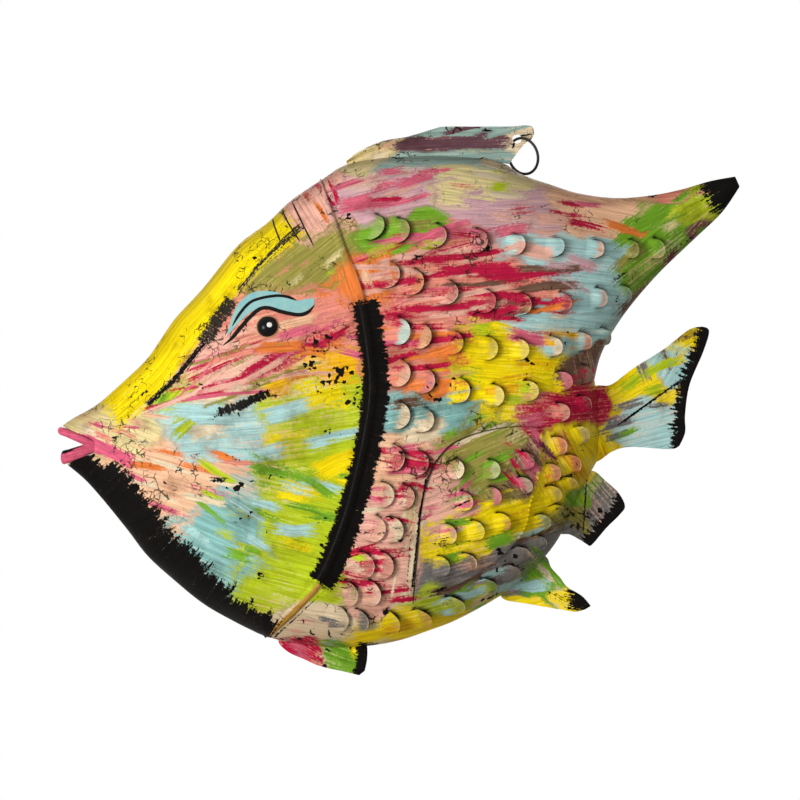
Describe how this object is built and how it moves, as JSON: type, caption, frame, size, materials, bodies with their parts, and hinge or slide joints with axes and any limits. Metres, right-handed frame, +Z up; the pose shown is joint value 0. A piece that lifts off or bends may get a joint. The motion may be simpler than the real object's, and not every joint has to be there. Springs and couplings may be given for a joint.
{
  "type": "hanging fish sculpture",
  "caption": "Hollow fish of dished sheet iron with punched scales, lapped head, let-in fins and distressed multicolour paint, hung by a wire ring on its back.",
  "frame": {"origin": "middle of the hanging ring at rest, in the plane of the seam between the two halves", "axes": "+X from nose to tail, +Z up, the fish's left flank faces -Y"},
  "size_m": [0.5988, 0.14, 0.484],
  "materials": {
    "painted_body": "brushed multicolour paint over cream ground, crackled, satin",
    "painted_head": "brushed yellow, pink and black paint over cream ground, crackled, satin",
    "painted_lip": "pink brushed paint, satin",
    "black_eye": "glossy black enamel",
    "painted_pectoral": "brushed multicolour paint, satin",
    "painted_fin": "brushed multicolour paint with black edges, satin",
    "dark_wire": "dark oxidised wire"
  },
  "bodies": {
    "fish": {"left_body_shell": "painted_body", "right_body_shell": "painted_body", "left_head_shell": "painted_head", "right_head_shell": "painted_head", "upper_lip": "painted_lip", "lower_lip": "painted_lip", "left_eye": "black_eye", "right_eye": "black_eye", "left_pectoral_fin": "painted_pectoral", "right_pectoral_fin": "painted_pectoral", "dorsal_fin": "painted_fin", "tail_fin": "painted_fin", "upper_anal_fin": "painted_fin", "lower_anal_fin": "painted_fin", "pelvic_fin": "painted_fin"},
    "ring": {"hanging_ring": "dark_wire"}
  },
  "joints": [
    {"name": "ring_swing", "type": "hinge", "parent": "fish", "child": "ring", "pos_m": [-0.00547, 0, 0.01503], "axis": [0, -1, 0], "range_deg": [0, 210]}
  ]
}
